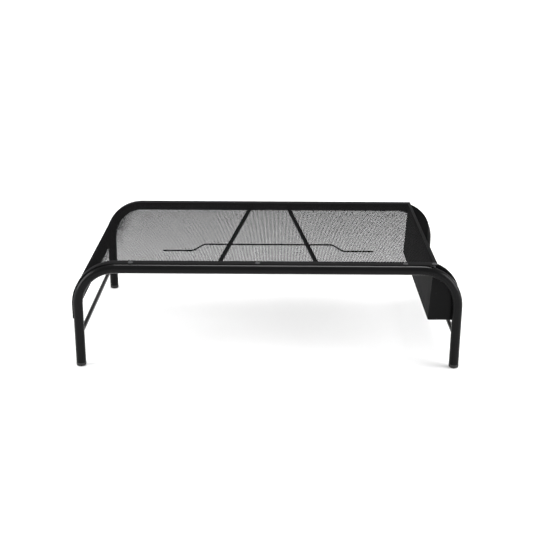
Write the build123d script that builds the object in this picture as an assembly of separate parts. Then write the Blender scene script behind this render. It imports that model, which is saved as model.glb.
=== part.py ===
from build123d import *
import os

# A low stand that carries a monitor: two bent steel tubes make the legs, a sheet of
# expanded mesh with solid margins lies over them, and a file pocket hangs at the right end.
# Millimetres. +X is right, +Y is away from the user, +Z is up, and z = 0 is the desk.

# Tube frame
LEG_SPREAD = 494.0          # between the left and right leg axes
TUBE_SPACING = 294.0        # between the front and rear tube axes
TUBE_Z = 136.0              # height of the crossbar axes
TUBE_R = 6.5
TUBE_WALL = 1.2
BEND_R = 50.0               # bend radius at the tube's axis

# Foot caps
CAP_H = 5.0                 # the part that shows below the tube
CAP_ROUND = 2.0
STEM_H = 15.0               # the part inside the tube
STEM_GAP = 0.05

# Rods and wire
ROD_R = 3.0
SIDE_RAIL_Z = 42.0
CROSS_ROD_Z = 137.5
CROSS_ROD_FRONT_X = 66.0    # the two cross rods draw together towards the back
CROSS_ROD_REAR_X = 27.0
WIRE_R = 1.0
WIRE_TIP_X = 140.0
WIRE_BEND_X = (100.0, 87.0)
WIRE_Y = (-89.0, -61.5)
WIRE_FILLET = 5.0

# Deck sheet and its margins
MESH_T = 0.6
MARGIN_T = 1.0
MARGIN_OUT = 2.0            # how far a margin reaches outside the tube's axis
MARGIN_IN = 10.5            # and inside it
FLAP_Z = 67.0               # lower edge of the left end, which hangs outside the legs
FLAP_HEM_H = 4.0
DECK_END_X = 218.0          # right edge, level over the right bends
DECK_HEM_W = 4.0

# File pocket
SHEET_T = 1.0
POCKET_FLOOR_Z = 64.0
POCKET_FOOT_X = 211.0       # foot of the inner wall, which leans
POCKET_HEAD_X = 215.5       # and its head, under the deck
POCKET_OUTER_TOP_Z = 84.0
PLATE_CURVE_R = 50.0        # the end plates' outer shoulder
PLATE_SHOULDER_Z = 113.0    # and its lower end, at the leg

# Screws through the front margin into the front crossbar; the rear margin is welded
SCREW_R = 1.6
SCREW_GAP = 0.05            # all round the shank
SCREW_LENGTH = 7.0
HEAD_R = 3.0
HEAD_H = 1.4
HEAD_ROUND = 0.6
RECESS_W = 0.7
RECESS_L = 3.4
RECESS_DEPTH = 0.7
SCREW_IN = 1.0              # behind the tube's axis
DECK_SCREW_X = (-176.5, -13.0, 177.0)
POCKET_SCREW_X = 214.0

# Worked out from the above
LEG_X = LEG_SPREAD / 2
TUBE_Y = TUBE_SPACING / 2
BEND_Z = TUBE_Z - BEND_R
DECK_Z = TUBE_Z + TUBE_R    # underside of the deck
BORE_R = TUBE_R - TUBE_WALL
PANEL_Y = TUBE_Y - MARGIN_IN
PLATE_Y = TUBE_Y - TUBE_R   # the pocket's end plates touch the tubes here
MID_X = MARGIN_T / 2        # centres the whole width: the left end has a sheet outside the legs
LONG = 2 * LEG_SPREAD       # longer than any piece, for cutting tools


def slab(sketch, y0, y1):
    """Extrude a sketch drawn in X and Z from y0 to y1."""
    return Pos(0, y1, 0) * extrude(Plane.XZ * sketch, y1 - y0)


def beneath(offset):
    """All that lies under the deck's line: round over the left bend, level to the far right."""
    shape = RectangleRounded(2 * LONG, 2 * (TUBE_Z + offset), BEND_R + offset)
    return Pos(LONG - LEG_X - offset, 0) * shape


def window(x0, x1, z0, z1):
    """A rectangle in X and Z."""
    return Pos((x0 + x1) / 2, (z0 + z1) / 2) * Rectangle(x1 - x0, z1 - z0)


def sheet(thickness, *windows):
    """The section of a sheet on the tubes, kept where it lies in a window."""
    band = beneath(TUBE_R + thickness) - beneath(TUBE_R)
    kept = windows[0]
    for extra in windows[1:]:
        kept += extra
    return band & kept


def rod(start, end, radius):
    """A straight round bar."""
    axis = Line(start, end)
    return sweep(Plane(axis @ 0, z_dir=axis % 0) * Circle(radius), path=axis)


def tube_axis(y):
    """The bent line of one leg tube."""
    corners = [(-LEG_X, y, CAP_H), (-LEG_X, y, TUBE_Z), (LEG_X, y, TUBE_Z), (LEG_X, y, CAP_H)]
    return FilletPolyline(*corners, radius=BEND_R)


def screw_place(x):
    """Where a screw's head meets the front margin."""
    return Pos(x, SCREW_IN - TUBE_Y, DECK_Z + MARGIN_T)


def screw():
    """A pan-head screw, with the underside of its head at the origin."""
    head = Pos(0, 0, HEAD_H / 2) * Cylinder(HEAD_R, HEAD_H)
    head = fillet(head.edges().group_by(Axis.Z)[-1], HEAD_ROUND)
    slot = Box(RECESS_L, RECESS_W, 2 * RECESS_DEPTH) + Box(RECESS_W, RECESS_L, 2 * RECESS_DEPTH)
    shank = Pos(0, 0, -SCREW_LENGTH / 2) * Cylinder(SCREW_R, SCREW_LENGTH)
    return head - Pos(0, 0, HEAD_H) * slot + shank


def screw_hole():
    """The hole that a screw passes through."""
    return Cylinder(SCREW_R + SCREW_GAP, 2 * SCREW_LENGTH)


def drilled(piece):
    """A piece with the hole of every screw that passes through it."""
    for x in (*DECK_SCREW_X, POCKET_SCREW_X):
        piece -= screw_place(x) * screw_hole()
    return piece


def leg_tube(side):
    """A leg tube; side is -1 for the front one and 1 for the rear one."""
    axis = tube_axis(side * TUBE_Y)
    ring = Plane(axis @ 0, z_dir=axis % 0) * (Circle(TUBE_R) - Circle(BORE_R))
    return sweep(ring, path=axis)


def foot_cap(side_x, side_y):
    foot = Pos(0, 0, CAP_H / 2) * Cylinder(TUBE_R, CAP_H)
    foot = fillet(foot.edges().group_by(Axis.Z)[0], CAP_ROUND)
    stem = Pos(0, 0, CAP_H + STEM_H / 2) * Cylinder(BORE_R - STEM_GAP, STEM_H)
    return Pos(side_x * LEG_X, side_y * TUBE_Y, 0) * (foot + stem)


def side_rail(side_x):
    """A rod between the front and rear legs, its ends shaped to the tubes."""
    x = side_x * LEG_X
    rail = rod((x, -TUBE_Y, SIDE_RAIL_Z), (x, TUBE_Y, SIDE_RAIL_Z), ROD_R)
    for side_y in (-1, 1):
        rail -= Pos(x, side_y * TUBE_Y, SIDE_RAIL_Z) * Cylinder(TUBE_R, LONG)
    return rail


def cross_rod(side_x):
    """A rod under the mesh between the crossbars, its ends shaped to the tubes."""
    front = (side_x * CROSS_ROD_FRONT_X, -TUBE_Y, CROSS_ROD_Z)
    rear = (side_x * CROSS_ROD_REAR_X, TUBE_Y, CROSS_ROD_Z)
    bar = rod(front, rear, ROD_R)
    for side_y in (-1, 1):
        bar -= Pos(0, side_y * TUBE_Y, TUBE_Z) * Rot(0, 90, 0) * Cylinder(TUBE_R, LONG)
    return bar


def stiffener_wire():
    """A bent wire that lies on the cross rods and stiffens the mesh in front."""
    z = CROSS_ROD_Z + ROD_R + WIRE_R
    right = [(WIRE_BEND_X[1], WIRE_Y[1], z), (WIRE_BEND_X[0], WIRE_Y[0], z), (WIRE_TIP_X, WIRE_Y[0], z)]
    left = [(-x, y, z) for x, y, z in reversed(right)]
    axis = FilletPolyline(*left, *right, radius=WIRE_FILLET)
    return sweep(Plane(axis @ 0, z_dir=axis % 0) * Circle(WIRE_R), path=axis)


def deck_mesh_panel():
    flat = window(-LONG, DECK_END_X - DECK_HEM_W, BEND_Z, LONG)
    flap = window(-LONG, 0, FLAP_Z + FLAP_HEM_H, LONG)
    return slab(sheet(MESH_T, flat, flap), -PANEL_Y, PANEL_Y)


def deck_margin(side):
    """The solid margin along one tube, from the left flap over the left bend to the pocket."""
    top = window(-LONG, DECK_END_X, BEND_Z, LONG)
    flap = window(-LONG, 0, FLAP_Z, LONG)
    inner, outer = side * PANEL_Y, side * (TUBE_Y + MARGIN_OUT)
    return slab(sheet(MARGIN_T, top, flap), min(inner, outer), max(inner, outer))


def deck_left_hem():
    lip = window(-LONG, 0, FLAP_Z, FLAP_Z + FLAP_HEM_H)
    return slab(sheet(MARGIN_T, lip), -PANEL_Y, PANEL_Y)


def deck_right_hem():
    lip = window(DECK_END_X - DECK_HEM_W, DECK_END_X, BEND_Z, LONG)
    return slab(sheet(MARGIN_T, lip), -PANEL_Y, PANEL_Y)


def pocket_inner_wall():
    """Leans a little, hangs under the deck's right edge and stands on the floor."""
    lean = (POCKET_HEAD_X - POCKET_FOOT_X) / (DECK_Z - POCKET_FLOOR_Z)
    foot_x = POCKET_FOOT_X + lean * SHEET_T
    corners = [(foot_x, POCKET_FLOOR_Z + SHEET_T), (POCKET_HEAD_X, DECK_Z)]
    corners += [(x - SHEET_T, z) for x, z in reversed(corners)]
    wall = make_face(Polyline(*corners, close=True))
    return slab(wall, SHEET_T - PLATE_Y, PLATE_Y - SHEET_T)


def pocket_floor():
    floor = window(POCKET_FOOT_X - SHEET_T, LEG_X, POCKET_FLOOR_Z, POCKET_FLOOR_Z + SHEET_T)
    return slab(floor, SHEET_T - PLATE_Y, PLATE_Y - SHEET_T)


def pocket_outer_wall():
    wall = window(LEG_X - SHEET_T, LEG_X, POCKET_FLOOR_Z + SHEET_T, POCKET_OUTER_TOP_Z)
    return slab(wall, SHEET_T - PLATE_Y, PLATE_Y - SHEET_T)


def pocket_end_plate(side):
    """Closes one end of the pocket and lies against the tube, with a rounded outer shoulder."""
    foot = (POCKET_FOOT_X - SHEET_T, POCKET_FLOOR_Z)
    head = (POCKET_HEAD_X - SHEET_T, DECK_Z)
    brow = (DECK_END_X, DECK_Z)
    shoulder = (LEG_X, PLATE_SHOULDER_Z)
    sides = Polyline(shoulder, (LEG_X, POCKET_FLOOR_Z), foot, head, brow)
    plate = make_face(sides + RadiusArc(brow, shoulder, PLATE_CURVE_R))
    near, far = side * (PLATE_Y - SHEET_T), side * PLATE_Y
    return slab(plate, min(near, far), max(near, far))


def screws(places):
    """A group of separate screws."""
    return Compound([screw_place(x) * screw() for x in places])


parts = {
    "front_leg_tube": drilled(leg_tube(-1)),
    "rear_leg_tube": leg_tube(1),
    "left_side_rail": side_rail(-1),
    "right_side_rail": side_rail(1),
    "left_cross_rod": cross_rod(-1),
    "right_cross_rod": cross_rod(1),
    "stiffener_wire": stiffener_wire(),
    "deck_mesh_panel": deck_mesh_panel(),
    "deck_front_margin": drilled(deck_margin(-1)),
    "deck_rear_margin": deck_margin(1),
    "deck_left_hem": deck_left_hem(),
    "deck_right_hem": deck_right_hem(),
    "pocket_inner_wall": pocket_inner_wall(),
    "pocket_floor": pocket_floor(),
    "pocket_outer_wall": pocket_outer_wall(),
    "pocket_front_plate": pocket_end_plate(-1),
    "pocket_rear_plate": pocket_end_plate(1),
    "deck_screws": screws(DECK_SCREW_X),
    "pocket_screw": screws([POCKET_SCREW_X]),
}
for side_y, end in ((-1, "front"), (1, "rear")):
    for side_x, hand in ((-1, "left"), (1, "right")):
        parts[f"{end}_{hand}_foot_cap"] = foot_cap(side_x, side_y)

os.makedirs("parts", exist_ok=True)
for name, piece in parts.items():
    export_step(Pos(MID_X, 0, 0) * piece, f"parts/{name}.step")
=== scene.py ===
import math
import random

import bmesh
import bpy
from mathutils import Matrix, Vector


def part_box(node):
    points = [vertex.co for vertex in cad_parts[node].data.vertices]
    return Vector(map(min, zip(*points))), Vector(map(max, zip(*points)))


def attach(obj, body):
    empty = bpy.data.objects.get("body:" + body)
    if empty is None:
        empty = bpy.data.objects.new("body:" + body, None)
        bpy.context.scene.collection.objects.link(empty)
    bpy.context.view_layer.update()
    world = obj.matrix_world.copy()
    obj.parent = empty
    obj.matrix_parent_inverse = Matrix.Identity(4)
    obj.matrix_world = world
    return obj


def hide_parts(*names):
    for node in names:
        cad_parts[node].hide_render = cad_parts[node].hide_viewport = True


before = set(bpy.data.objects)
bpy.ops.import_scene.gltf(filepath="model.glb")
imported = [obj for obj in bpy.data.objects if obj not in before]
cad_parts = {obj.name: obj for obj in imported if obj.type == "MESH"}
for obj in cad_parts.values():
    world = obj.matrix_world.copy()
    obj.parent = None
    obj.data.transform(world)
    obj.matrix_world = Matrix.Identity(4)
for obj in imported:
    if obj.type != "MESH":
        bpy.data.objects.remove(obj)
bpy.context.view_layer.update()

# The looks of a monitor riser stand. Its tubes, rods, wire, foot caps and screws are the CAD's
# own, with better materials. The deck and the file pocket are made again here, in more detail.
# Metres. +X is right, towards the pocket, +Y is away from the user, and z = 0 is the desk.
MM = 0.001


# ---------------------------------------------------------------- places from the CAD model

cap_low, cap_high = (Vector(corner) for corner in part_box("front_left_foot_cap"))
far_low, far_high = (Vector(corner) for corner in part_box("rear_right_foot_cap"))
tube_high = Vector(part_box("front_leg_tube")[1])
mesh_low, mesh_high = (Vector(corner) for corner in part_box("deck_mesh_panel"))
margin_low, margin_high = (Vector(corner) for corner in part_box("deck_front_margin"))
hem_low, hem_high = (Vector(corner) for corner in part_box("deck_right_hem"))
lip_low, lip_high = (Vector(corner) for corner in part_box("deck_left_hem"))
plate_low, plate_high = (Vector(corner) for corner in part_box("pocket_front_plate"))
outer_low, outer_high = (Vector(corner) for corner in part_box("pocket_outer_wall"))
wall_high = Vector(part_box("pocket_inner_wall")[1])
rail_low, rail_high = (Vector(corner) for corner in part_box("left_side_rail"))
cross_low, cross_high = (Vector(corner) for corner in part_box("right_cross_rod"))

TUBE_R = (cap_high.x - cap_low.x) / 2
LEFT_X = (cap_low.x + cap_high.x) / 2
RIGHT_X = (far_low.x + far_high.x) / 2
FRONT_Y = (cap_low.y + cap_high.y) / 2
REAR_Y = (far_low.y + far_high.y) / 2
TUBE_Z = tube_high.z - TUBE_R
BEND_R = 50 * MM             # bend radius at the tube's axis
BEND_Z = TUBE_Z - BEND_R
MARGIN_T = margin_high.z - tube_high.z
MESH_T = mesh_high.z - tube_high.z
SHEET_T = outer_high.x - outer_low.x
ROD_R = (rail_high.z - rail_low.z) / 2
RAIL_Z = (rail_high.z + rail_low.z) / 2
CROSS_Z = (cross_high.z + cross_low.z) / 2


# ---------------------------------------------------------------- shapes

CREASE = 35                  # degrees: a sharper edge keeps a sharp shade
ALL_SMOOTH = 180
BEND_PITCH = 3 * MM          # between stations round the bend
LEVEL_PITCH = 20 * MM        # and along the straight parts
FLAT_CORNER = math.radians(80)    # half of a corner too flat to round
LEAST_MITRE = 0.3            # limits how far a sharp corner of an inset line moves


def place(name, data):
    """Put new data in the scene as an object."""
    thing = bpy.data.objects.new(name, data)
    bpy.context.scene.collection.objects.link(thing)
    return thing


def piece_from(name, bm, material, nodes=(), crease=CREASE):
    """Turn a bmesh into a named piece that rides with the stand and stands for CAD nodes.

    Edges sharper than the crease angle, and those round a flat cap, keep a sharp shade.
    """
    bmesh.ops.recalc_face_normals(bm, faces=bm.faces)
    for face in bm.faces:
        face.smooth = True
    if crease < ALL_SMOOTH:
        for edge in bm.edges:
            capped = any(len(face.verts) > 4 for face in edge.link_faces)
            edge.smooth = not capped and edge.calc_face_angle(0) < math.radians(crease)
    mesh = bpy.data.meshes.new(name)
    bm.to_mesh(mesh)
    bm.free()
    mesh.materials.append(material)
    piece = place(name, mesh)
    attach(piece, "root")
    if nodes:
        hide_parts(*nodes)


def loft(bm, rings, closed=False):
    """Join rings of points into a skin; an open one is capped at both ends."""
    rows = [[bm.verts.new(point) for point in ring] for ring in rings]
    pairs = list(zip(rows, rows[1:]))
    if closed:
        pairs.append((rows[-1], rows[0]))
    for a, b in pairs:
        for k in range(len(a)):
            n = (k + 1) % len(a)
            bm.faces.new((a[k], a[n], b[n], b[k]))
    if not closed:
        bm.faces.new(rows[0])
        bm.faces.new(rows[-1])


def deck_line(s, offset):
    """A point on the deck's line and the outward normal, in X and Z.

    The line lies offset outside the tubes' axis. s is 0 where the left bend begins, negative
    down the left leg, and grows to the right.
    """
    radius = BEND_R + offset
    bend = math.pi / 2 * radius
    if s < 0:
        return Vector((LEFT_X - offset, BEND_Z + s)), Vector((-1, 0))
    if s < bend:
        out = Vector((-math.cos(s / radius), math.sin(s / radius)))
        return Vector((LEFT_X + BEND_R, BEND_Z)) + out * radius, out
    return Vector((LEFT_X + BEND_R + s - bend, TUBE_Z + offset)), Vector((0, 1))


def deck_reach(x, offset):
    """How far along its line the level part of the deck passes x."""
    return math.pi / 2 * (BEND_R + offset) + x - (LEFT_X + BEND_R)


def deck_steps(s0, s1, offset):
    """Stations along the deck's line, close together round the bend."""
    bend = math.pi / 2 * (BEND_R + offset)
    edges = [s0] + [s for s in (0, bend) if s0 < s < s1] + [s1]
    stations = [s0]
    for a, b in zip(edges, edges[1:]):
        pitch = BEND_PITCH if 0 < (a + b) / 2 < bend else LEVEL_PITCH
        count = max(1, math.ceil((b - a) / pitch))
        stations += [a + (b - a) * k / count for k in range(1, count + 1)]
    return stations


def rounded_corners(points, radius, closed, steps=4):
    """Round the corners of a line of points in X and Z."""
    rounded = []
    count = len(points)
    for k, point in enumerate(points):
        if not closed and k in (0, count - 1):
            rounded.append(point)
            continue
        before = (points[k - 1] - point).normalized()
        after = (points[(k + 1) % count] - point).normalized()
        half = before.angle(after) / 2
        if half > FLAT_CORNER:
            rounded.append(point)
            continue
        centre = point + (before + after).normalized() * radius / math.sin(half)
        start = point + before * radius / math.tan(half) - centre
        turn = start.angle_signed(point + after * radius / math.tan(half) - centre)
        for step in range(steps + 1):
            angle = -turn * step / steps
            arm = Vector((start.x * math.cos(angle) - start.y * math.sin(angle),
                          start.x * math.sin(angle) + start.y * math.cos(angle)))
            rounded.append(centre + arm)
    return rounded


def inset(points, depth, closed=True):
    """Move a line of points to its left by depth, keeping the stretches parallel."""
    moved = []
    for k, point in enumerate(points):
        before = points[k - 1] if closed or k else point * 2 - points[1]
        last = k == len(points) - 1
        after = points[(k + 1) % len(points)] if closed or not last else point * 2 - points[k - 1]
        a, b = (point - before).normalized(), (after - point).normalized()
        mean = (a + b).normalized()
        left = Vector((-mean.y, mean.x))
        moved.append(point + left * depth / max(LEAST_MITRE, mean.dot(a)))
    return moved


def rounded_section(width, height, radius, steps=3):
    """The outline of a rectangle from (0, 0) to (width, height) with rounded corners."""
    points = []
    corners = ((width - radius, radius, -90), (width - radius, height - radius, 0),
               (radius, height - radius, 90), (radius, radius, 180))
    for cx, cy, start in corners:
        for k in range(steps + 1):
            turn = math.radians(start + 90 * k / steps)
            points.append((cx + radius * math.cos(turn), cy + radius * math.sin(turn)))
    return points


# ---------------------------------------------------------------- materials

# Powder coat
PEEL_SCALE = 900.0
GRAIN_SCALE = 4200.0
CLOUD_SCALE = 22.0
CLOUD_TINTS = (0.6, 1.7)     # times the colour
CLOUD_GLOSS = (0.82, 1.2)    # times the roughness
GRAIN_SHARE = 0.35           # of the grain in the relief, beside the peel
COAT_RELIEF = 0.05 * MM

# Moulded plastic
SPARK_SCALE = 2600.0
SCUFF_SCALE = 160.0
SCUFF_TINT = 2.2             # times the colour
SCUFF_ROUGHNESS = (0.45, 0.7)
SPARK_STRENGTH = 0.4
SPARK_RELIEF = 0.06 * MM

# Worn metal
WEAR_SCALE = 700.0
WEAR_DARK = (0.015, 0.015, 0.016)
WEAR_LIGHT = (0.06, 0.06, 0.062)
WEAR_ROUGHNESS = (0.35, 0.5)

# Colours of the coats
DEEP_BLACK = (0.003, 0.003, 0.0032)
SHEET_BLACK = (0.005, 0.005, 0.0053)
CAP_BLACK = (0.008, 0.008, 0.008)
SCREW_GREY = (0.03, 0.03, 0.032)


def new_material(name, color, roughness, specular):
    material = bpy.data.materials.new(name)
    material.use_nodes = True
    shader = material.node_tree.nodes["Principled BSDF"]
    shader.inputs["Base Color"].default_value = (*color, 1)
    shader.inputs["Roughness"].default_value = roughness
    shader.inputs["Specular IOR Level"].default_value = specular
    return material, material.node_tree.nodes, material.node_tree.links, shader


def texture(nodes, links, kind, **inputs):
    """A texture that is fixed to the piece."""
    node = nodes.new(kind)
    for name, value in inputs.items():
        node.inputs[name].default_value = value
    links.new(nodes.new("ShaderNodeTexCoord").outputs["Object"], node.inputs["Vector"])
    return node


def spread(nodes, links, source, low, high):
    """Map a texture's 0 to 1 onto another range."""
    node = nodes.new("ShaderNodeMapRange")
    node.inputs["To Min"].default_value = low
    node.inputs["To Max"].default_value = high
    links.new(source, node.inputs["Value"])
    return node.outputs["Result"]


def tint(nodes, links, factor, dark, light):
    """Blend two colours by a factor."""
    node = nodes.new("ShaderNodeMix")
    node.data_type = "RGBA"
    node.inputs["A"].default_value = (*dark, 1)
    node.inputs["B"].default_value = (*light, 1)
    links.new(factor, node.inputs["Factor"])
    return node.outputs["Result"]


def relief(nodes, links, shader, height, strength, depth):
    """Roughen a surface by a height."""
    node = nodes.new("ShaderNodeBump")
    node.inputs["Strength"].default_value = strength
    node.inputs["Distance"].default_value = depth
    links.new(height, node.inputs["Height"])
    links.new(node.outputs["Normal"], shader.inputs["Normal"])


def powder_coat(name, color, roughness, specular, bump):
    """Black powder coat: orange peel, a fine grain and slightly uneven gloss."""
    material, nodes, links, shader = new_material(name, color, roughness, specular)
    peel = texture(nodes, links, "ShaderNodeTexNoise", Scale=PEEL_SCALE, Detail=2.0)
    grain = texture(nodes, links, "ShaderNodeTexNoise", Scale=GRAIN_SCALE, Detail=1.0)
    cloud = texture(nodes, links, "ShaderNodeTexNoise", Scale=CLOUD_SCALE, Detail=4.0, Roughness=0.6)
    patches = cloud.outputs["Fac"]
    dark, light = (tuple(c * share for c in color) for share in CLOUD_TINTS)
    links.new(tint(nodes, links, patches, dark, light), shader.inputs["Base Color"])
    glossy, dull = (roughness * share for share in CLOUD_GLOSS)
    links.new(spread(nodes, links, patches, glossy, dull), shader.inputs["Roughness"])
    heights = nodes.new("ShaderNodeMath")
    heights.operation = "MULTIPLY_ADD"
    heights.inputs[1].default_value = GRAIN_SHARE
    links.new(grain.outputs["Fac"], heights.inputs[0])
    links.new(peel.outputs["Fac"], heights.inputs[2])
    relief(nodes, links, shader, heights.outputs["Value"], bump, COAT_RELIEF)
    return material


def moulded_plastic(name, color):
    """Matt moulded plastic with a fine spark-eroded grain."""
    material, nodes, links, shader = new_material(name, color, roughness=0.55, specular=0.35)
    grain = texture(nodes, links, "ShaderNodeTexVoronoi", Scale=SPARK_SCALE)
    scuff = texture(nodes, links, "ShaderNodeTexNoise", Scale=SCUFF_SCALE, Detail=5.0)
    marks = scuff.outputs["Fac"]
    light = tuple(c * SCUFF_TINT for c in color)
    links.new(tint(nodes, links, marks, color, light), shader.inputs["Base Color"])
    links.new(spread(nodes, links, marks, *SCUFF_ROUGHNESS), shader.inputs["Roughness"])
    relief(nodes, links, shader, grain.outputs["Distance"], SPARK_STRENGTH, SPARK_RELIEF)
    return material


def worn_metal(name):
    """Blackened steel, worn lighter in places."""
    material, nodes, links, shader = new_material(name, SCREW_GREY, roughness=0.4, specular=0.12)
    wear = texture(nodes, links, "ShaderNodeTexNoise", Scale=WEAR_SCALE, Detail=3.0).outputs["Fac"]
    links.new(tint(nodes, links, wear, WEAR_DARK, WEAR_LIGHT), shader.inputs["Base Color"])
    links.new(spread(nodes, links, wear, *WEAR_ROUGHNESS), shader.inputs["Roughness"])
    return material


frame_black = powder_coat("frame_black_coat", DEEP_BLACK, roughness=0.2, specular=0.09, bump=0.35)
sheet_black = powder_coat("sheet_black_coat", SHEET_BLACK, roughness=0.62, specular=0.02, bump=0.45)
plate_black = powder_coat("sheet_black_gloss", DEEP_BLACK, roughness=0.26, specular=0.06, bump=0.35)
mesh_black = powder_coat("mesh_black_coat", DEEP_BLACK, roughness=0.7, specular=0.02, bump=0.3)
cap_black = moulded_plastic("cap_black_plastic", CAP_BLACK)
screw_metal = worn_metal("worn_screw_metal")


def cad_material(names, material):
    """Give CAD nodes a better material."""
    for name in names:
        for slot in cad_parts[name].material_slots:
            slot.material = material


cad_material(["front_leg_tube", "rear_leg_tube", "left_side_rail", "right_side_rail",
              "left_cross_rod", "right_cross_rod", "stiffener_wire"], frame_black)
cad_material([f"{end}_{side}_foot_cap" for end in ("front", "rear") for side in ("left", "right")],
             cap_black)
cad_material(["deck_screws", "pocket_screw"], screw_metal)


# ---------------------------------------------------------------- camera, floor and light

CAMERA_AT = Vector((10.6, -1400.5, 579.7)) * MM
CAMERA_YAW = math.radians(-0.038)
CAMERA_PITCH = math.radians(19.03)
CAMERA_ROLL = math.radians(0.309)
CAMERA_LENS = 67.69
CAMERA_SENSOR = 36.0
CAMERA_SHIFT = -0.0255

FLOOR_REACH = 30.0
FLOOR_WHITE = (0.94, 0.94, 0.94)

WORLD_STRENGTH = 0.82
OVERHEAD = {"strength": 1.7, "width": 40, "back": 22}
GLEAM = {"strength": 5.0, "width": 36, "back": 16}
SUN_LEAN = 8                 # degrees to the side, for both suns
BOX_AT = Vector((1.8, -0.5, 0.7))    # the right one; the left one is its mirror image
BOX_SIZE = 1.2
BOX_WATTS = 35


def make_camera():
    """A camera in front of the stand, turned by its yaw, pitch and roll."""
    data = bpy.data.cameras.new("camera")
    data.lens = CAMERA_LENS
    data.sensor_width = CAMERA_SENSOR
    data.shift_y = CAMERA_SHIFT
    camera = place("camera", data)
    down = math.cos(CAMERA_PITCH)
    ahead = Vector((math.sin(CAMERA_YAW) * down, math.cos(CAMERA_YAW) * down, -math.sin(CAMERA_PITCH)))
    right = Vector((math.cos(CAMERA_YAW), -math.sin(CAMERA_YAW), 0))
    up = right.cross(ahead)
    side = right * math.cos(CAMERA_ROLL) + up * math.sin(CAMERA_ROLL)
    top = up * math.cos(CAMERA_ROLL) - right * math.sin(CAMERA_ROLL)
    turned = Matrix((side, top, -ahead)).transposed().to_4x4()
    camera.matrix_world = Matrix.Translation(CAMERA_AT) @ turned
    bpy.context.scene.camera = camera


def make_floor():
    """A wide pale floor."""
    bm = bmesh.new()
    corners = [(-FLOOR_REACH, -FLOOR_REACH, 0), (FLOOR_REACH, -FLOOR_REACH, 0),
               (FLOOR_REACH, FLOOR_REACH, 0), (-FLOOR_REACH, FLOOR_REACH, 0)]
    bm.faces.new([bm.verts.new(corner) for corner in corners])
    mesh = bpy.data.meshes.new("floor")
    bm.to_mesh(mesh)
    bm.free()
    floor_white = new_material("floor_white", FLOOR_WHITE, roughness=0.8, specular=0.0)[0]
    mesh.materials.append(floor_white)
    floor = place("floor", mesh)


def soft_box(name, at):
    """A square studio light aimed at the stand."""
    data = bpy.data.lights.new(name, "AREA")
    data.shape = "RECTANGLE"
    data.size = BOX_SIZE
    data.size_y = BOX_SIZE
    data.energy = BOX_WATTS
    light = place(name, data)
    light.location = at
    light.rotation_euler = (-at).to_track_quat("-Z", "Y").to_euler()


def sun_light(name, strength, width, back):
    """A distant round light of that width in degrees, tipped back from overhead."""
    data = bpy.data.lights.new(name, "SUN")
    data.energy = strength
    data.angle = math.radians(width)
    light = place(name, data)
    light.rotation_euler = (math.radians(-back), math.radians(SUN_LEAN), 0)
    return light


def make_light():
    """Soft light from all sides, with a gleam that shows only in reflections."""
    world = bpy.data.worlds.new("studio")
    world.use_nodes = True
    sky = world.node_tree.nodes["Background"]
    sky.inputs["Color"].default_value = (1, 1, 1, 1)
    sky.inputs["Strength"].default_value = WORLD_STRENGTH
    bpy.context.scene.world = world
    sun_light("overhead", **OVERHEAD)
    gleam = sun_light("gleam", **GLEAM)
    gleam.visible_diffuse = False
    soft_box("left_box", BOX_AT * Vector((-1, 1, 1)))
    soft_box("right_box", BOX_AT)


bpy.context.scene.view_settings.view_transform = "Standard"
make_camera()
make_floor()
make_light()


# ---------------------------------------------------------------- deck

EDGE = 0.35 * MM             # rounding of the strips' edges
MESH_PITCH_S = 3.9 * MM      # the diamonds' long way, along the deck
MESH_PITCH_Y = 2.4 * MM      # and the short way, front to back
STRAND_W = 0.55 * MM
STRAND_T = 0.43 * MM
MESH_PANELS = 3
SIDES = ((-1, 0), (0, -1), (1, 0), (0, 1))    # from an opening's middle to its four knots


def mesh_panel(at, columns, rows, open_part):
    """The strands round the openings in a range of columns and rows of the mesh's grid."""
    bm = bmesh.new()
    knots = {}

    def knot(i, j, up):
        if (i, j, up) not in knots:
            knots[i, j, up] = bm.verts.new(at(i, j, up * STRAND_T / 2))
        return knots[i, j, up]

    def is_opening(i, j):
        return (i + j) % 2 == 1 and i in columns and j in rows

    for i in columns:
        for j in rows:
            if not is_opening(i, j):
                continue
            top = [knot(i + a, j + b, 1) for a, b in SIDES]
            low = [knot(i + a, j + b, -1) for a, b in SIDES]
            rim = [bm.verts.new(at(i + a * open_part, j + b * open_part, 0)) for a, b in SIDES]
            for k in range(len(SIDES)):
                n = (k + 1) % len(SIDES)
                bm.faces.new((top[k], top[n], rim[n], rim[k]))
                bm.faces.new((low[n], low[k], rim[k], rim[n]))
                beside = (i + SIDES[k][0] + SIDES[n][0], j + SIDES[k][1] + SIDES[n][1])
                if not is_opening(*beside):
                    bm.faces.new((top[n], top[k], low[k], low[n]))
    return bm


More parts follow.
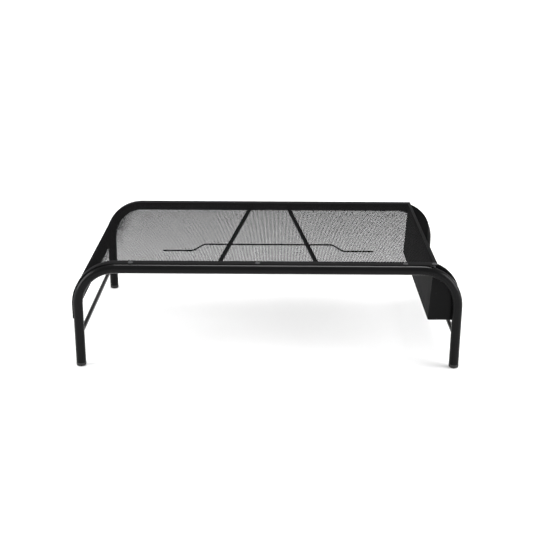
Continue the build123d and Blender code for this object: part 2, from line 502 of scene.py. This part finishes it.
def make_mesh():
    """Expanded mesh: diamond openings between strands with a flattened section.

    Every second point of a grid along and across the deck is the middle of an opening. The
    points between them are the knots, where strands meet.
    """
    offset = TUBE_R + MESH_T / 2
    s0 = lip_high.z - BEND_Z - MESH_PITCH_S / 2
    s1 = deck_reach(hem_low.x, offset) + MESH_PITCH_S / 2
    y0, y1 = mesh_low.y - MESH_PITCH_Y / 2, mesh_high.y + MESH_PITCH_Y / 2
    columns, rows = 2 * round((s1 - s0) / MESH_PITCH_S), 2 * round((y1 - y0) / MESH_PITCH_Y)
    step_s, step_y = (s1 - s0) / columns, (y1 - y0) / rows
    open_part = 1 - STRAND_W / 2 * math.hypot(step_s, step_y) / (step_s * step_y)

    def at(i, j, lift):
        foot, out = deck_line(s0 + i * step_s, offset)
        foot += out * lift
        return foot.x, y0 + j * step_y, foot.y

    for panel in range(MESH_PANELS):
        first, last = (1 + (columns - 1) * k // MESH_PANELS for k in (panel, panel + 1))
        bm = mesh_panel(at, range(first, last), range(1, rows), open_part)
        piece_from(f"deck_mesh_{panel + 1}", bm, mesh_black, ["deck_mesh_panel"], ALL_SMOOTH)


def deck_strip(name, node, s0, s1, low, high):
    """A strip of sheet that lies on the tubes, with rounded edges."""
    bm = bmesh.new()
    section = rounded_section(high[1] - low[1], MARGIN_T, EDGE)
    rings = []
    for s in deck_steps(s0, s1, TUBE_R):
        foot, out = deck_line(s, TUBE_R)
        ring = []
        for across, up in section:
            at = foot + out * up
            ring.append((at.x, low[1] + across, at.y))
        rings.append(ring)
    loft(bm, rings)
    piece_from(name, bm, sheet_black, [node])


def make_margins():
    """The sheet's solid borders and its hems at both ends."""
    flap = margin_low.z - BEND_Z
    for end in ("front", "rear"):
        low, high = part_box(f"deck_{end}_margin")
        deck_strip(f"{end}_margin", f"deck_{end}_margin", flap, deck_reach(high[0], TUBE_R), low, high)
    deck_strip("left_hem", "deck_left_hem", flap, lip_high.z - BEND_Z, lip_low, lip_high)
    deck_strip("right_hem", "deck_right_hem", deck_reach(hem_low.x, TUBE_R),
               deck_reach(hem_high.x, TUBE_R), hem_low, hem_high)


# ---------------------------------------------------------------- file pocket

FOLD = 1.6 * MM              # outer radius of the pocket's folds
FOLD_STEPS = 4
CORNER_R = 2 * MM            # rounding of the end plates' corners
SHOULDER_R = 50 * MM         # the curve at the end plates' outer top corner
SHOULDER_Z = 113 * MM        # and its lower end
SHOULDER_STEPS = 12


def make_trough():
    """The inner wall, floor and outer wall, folded from one sheet."""
    path = [Vector((outer_high.x, outer_high.z)), Vector((outer_high.x, plate_low.z)),
            Vector((plate_low.x, plate_low.z)), Vector((wall_high.x - SHEET_T, wall_high.z))]
    outside = rounded_corners(path, FOLD, closed=False)
    inside = inset(outside, -SHEET_T, closed=False)
    outline = outside + inside[::-1]
    bm = bmesh.new()
    reach = plate_low.y + FOLD
    loft(bm, [[(point.x, y, point.y) for point in outline] for y in (reach, -reach)])
    nodes = ["pocket_inner_wall", "pocket_floor", "pocket_outer_wall"]
    piece_from("pocket_trough", bm, sheet_black, nodes)


def plate_outline():
    """The end plate's edge in X and Z, with its curved shoulder."""
    top_left = Vector((wall_high.x - SHEET_T, plate_high.z))
    brow = Vector((margin_high.x, plate_high.z))
    shoulder = Vector((plate_high.x, SHOULDER_Z))
    chord = shoulder - brow
    middle = (brow + shoulder) / 2
    back = Vector((chord.y, -chord.x)).normalized()
    centre = middle + back * math.sqrt(SHOULDER_R ** 2 - (chord.length / 2) ** 2)
    start = math.atan2(brow.y - centre.y, brow.x - centre.x)
    end = math.atan2(shoulder.y - centre.y, shoulder.x - centre.x)
    curve = []
    for k in range(SHOULDER_STEPS + 1):
        angle = start + (end - start) * k / SHOULDER_STEPS
        curve.append(centre + Vector((math.cos(angle), math.sin(angle))) * SHOULDER_R)
    foot = Vector((plate_low.x, plate_low.z))
    corner = Vector((plate_high.x, plate_low.z))
    line = [corner] + curve[::-1] + [top_left, foot]
    return rounded_corners(line, CORNER_R, closed=True)


def make_end_plate(name, node, side):
    """A pressed plate with rounded edges; side is -1 for the front one and 1 for the rear one."""
    contour = plate_outline()
    face_y = plate_low.y if side < 0 else -plate_low.y
    bm = bmesh.new()
    rings = []
    for radius, start, end in ((FOLD, 0, 90), (FOLD - SHEET_T, 90, 0)):
        for k in range(FOLD_STEPS + 1):
            turn = math.radians(start + (end - start) * k / FOLD_STEPS)
            line = inset(contour, FOLD - radius * math.sin(turn))
            y = face_y - side * (FOLD - radius * math.cos(turn))
            rings.append([(point.x, y, point.y) for point in line])
    loft(bm, rings)
    piece_from(name, bm, plate_black, [node])


# ---------------------------------------------------------------- welds

BEAD_R = 0.9 * MM
BEAD_SIDES = 8
BEAD_UNEVEN = (0.85, 1.1)    # times the radius, drawn afresh at each point of a seam
SEAM_STEPS = 36
chance = random.Random(7)


def make_bead(name, line):
    """A slightly uneven weld bead round a closed line of points."""
    bm = bmesh.new()
    rings = []
    across = (line[1] - line[-1]).normalized().orthogonal()
    for k, point in enumerate(line):
        along = (line[(k + 1) % len(line)] - line[k - 1]).normalized()
        across = (across - along * across.dot(along)).normalized()
        up = along.cross(across)
        radius = BEAD_R * chance.uniform(*BEAD_UNEVEN)
        ring = []
        for step in range(BEAD_SIDES):
            turn = 2 * math.pi * step / BEAD_SIDES
            ring.append(point + (across * math.cos(turn) + up * math.sin(turn)) * radius)
        rings.append(ring)
    loft(bm, rings, closed=True)
    piece_from(name, bm, frame_black)


def rail_seam(x, y, inward):
    """The line where a side rail meets the leg at (x, y)."""
    line = []
    for k in range(SEAM_STEPS):
        turn = 2 * math.pi * k / SEAM_STEPS
        across = ROD_R * math.cos(turn)
        deep = math.sqrt(TUBE_R ** 2 - across ** 2)
        line.append(Vector((x + across, y + inward * deep, RAIL_Z + ROD_R * math.sin(turn))))
    return line


def cross_seam(x, y, inward):
    """The line where a cross rod meets the crossbar at (x, y)."""
    line = []
    for k in range(SEAM_STEPS):
        turn = 2 * math.pi * k / SEAM_STEPS
        height = CROSS_Z + ROD_R * math.sin(turn)
        deep = math.sqrt(TUBE_R ** 2 - (height - TUBE_Z) ** 2)
        line.append(Vector((x + ROD_R * math.cos(turn), y + inward * deep, height)))
    return line


def make_welds():
    """Beads where the side rails meet the legs and the cross rods meet the crossbars."""
    for side, hand, leg_x in ((-1, "left", LEFT_X), (1, "right", RIGHT_X)):
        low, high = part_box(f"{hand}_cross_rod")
        near, far = sorted((abs(low[0]), abs(high[0])))
        front_rod_x, rear_rod_x = side * (far - ROD_R), side * (near + ROD_R)
        for y, end, inward, rod_x in ((FRONT_Y, "front", 1, front_rod_x),
                                      (REAR_Y, "rear", -1, rear_rod_x)):
            make_bead(f"{end}_{hand}_rail_weld", rail_seam(leg_x, y, inward))
            make_bead(f"{end}_{hand}_cross_weld", cross_seam(rod_x, y, inward))


make_mesh()
make_margins()
make_trough()
make_end_plate("front_end_plate", "pocket_front_plate", -1)
make_end_plate("rear_end_plate", "pocket_rear_plate", 1)
make_welds()
